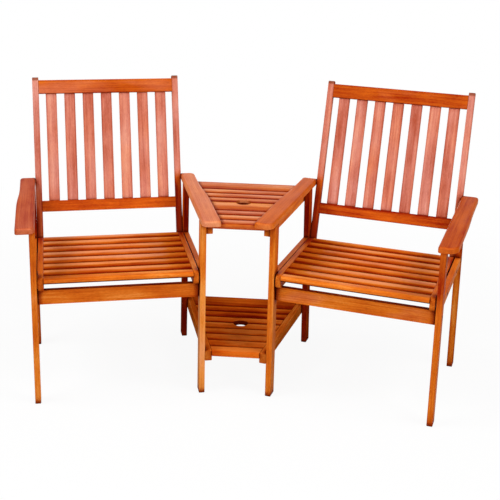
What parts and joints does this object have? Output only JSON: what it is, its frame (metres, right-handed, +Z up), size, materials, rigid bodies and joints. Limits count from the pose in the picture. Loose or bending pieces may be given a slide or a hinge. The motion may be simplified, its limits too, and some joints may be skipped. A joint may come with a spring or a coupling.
{
  "type": "companion seat bench",
  "caption": "Slatted hardwood companion seat: two toed-in armchairs with leaning slatted backs, joined by a splayed corner table with a parasol hole and a lower shelf.",
  "frame": {"origin": "centre of the footprint box on the floor, under the middle of the whole seat", "axes": "+X across both chairs from the left chair to the right chair as seen from the front, +Y to the back, +Z up; the open front faces -Y"},
  "size_m": [1.6008, 0.7874, 0.96],
  "materials": {
    "frame_wood": "oiled reddish-brown hardwood, satin",
    "seat_wood": "oiled reddish-brown hardwood, satin",
    "back_wood": "oiled reddish-brown hardwood, satin",
    "table_wood": "oiled reddish-brown hardwood, satin",
    "dowel_wood": "bare hardwood",
    "black_nylon": "black nylon",
    "zinc_steel": "zinc-plated steel"
  },
  "bodies": {
    "root": {"arm_dowels": "dowel_wood", "barrel_nuts": "zinc_steel", "board_screws": "zinc_steel", "cleat_screws": "zinc_steel", "coach_screws": "zinc_steel", "left_arm_inner": "frame_wood", "left_arm_outer": "frame_wood", "left_back_bottom_rail": "back_wood", "left_back_slats": "back_wood", "left_back_stile_inner": "back_wood", "left_back_stile_outer": "back_wood", "left_back_top_rail": "back_wood", "left_front_leg_inner": "frame_wood", "left_front_leg_outer": "frame_wood", "left_front_rail": "frame_wood", "left_rear_leg_inner": "frame_wood", "left_rear_leg_outer": "frame_wood", "left_rear_rail": "frame_wood", "left_seat_batten_inner": "seat_wood", "left_seat_batten_outer": "seat_wood", "left_seat_front_slat": "seat_wood", "left_seat_slats": "seat_wood", "left_shelf_rail": "table_wood", "left_side_rail_inner": "frame_wood", "left_side_rail_outer": "frame_wood", "left_table_batten": "table_wood", "rail_bolts": "zinc_steel", "right_arm_inner": "frame_wood", "right_arm_outer": "frame_wood", "right_back_bottom_rail": "back_wood", "right_back_slats": "back_wood", "right_back_stile_inner": "back_wood", "right_back_stile_outer": "back_wood", "right_back_top_rail": "back_wood", "right_front_leg_inner": "frame_wood", "right_front_leg_outer": "frame_wood", "right_front_rail": "frame_wood", "right_rear_leg_inner": "frame_wood", "right_rear_leg_outer": "frame_wood", "right_rear_rail": "frame_wood", "right_seat_batten_inner": "seat_wood", "right_seat_batten_outer": "seat_wood", "right_seat_front_slat": "seat_wood", "right_seat_slats": "seat_wood", "right_shelf_rail": "table_wood", "right_side_rail_inner": "frame_wood", "right_side_rail_outer": "frame_wood", "right_table_batten": "table_wood", "shelf_back_notched_slat": "table_wood", "shelf_back_slats": "table_wood", "shelf_front_notched_slat": "table_wood", "shelf_front_slats": "table_wood", "shelf_rear_board": "table_wood", "spacer_sleeves": "black_nylon", "table_top_back_slats": "table_wood", "table_top_front_slats": "table_wood", "table_top_hole_board": "table_wood", "table_top_notched_slat": "table_wood", "table_top_rear_board": "table_wood"}
  },
  "joints": []
}
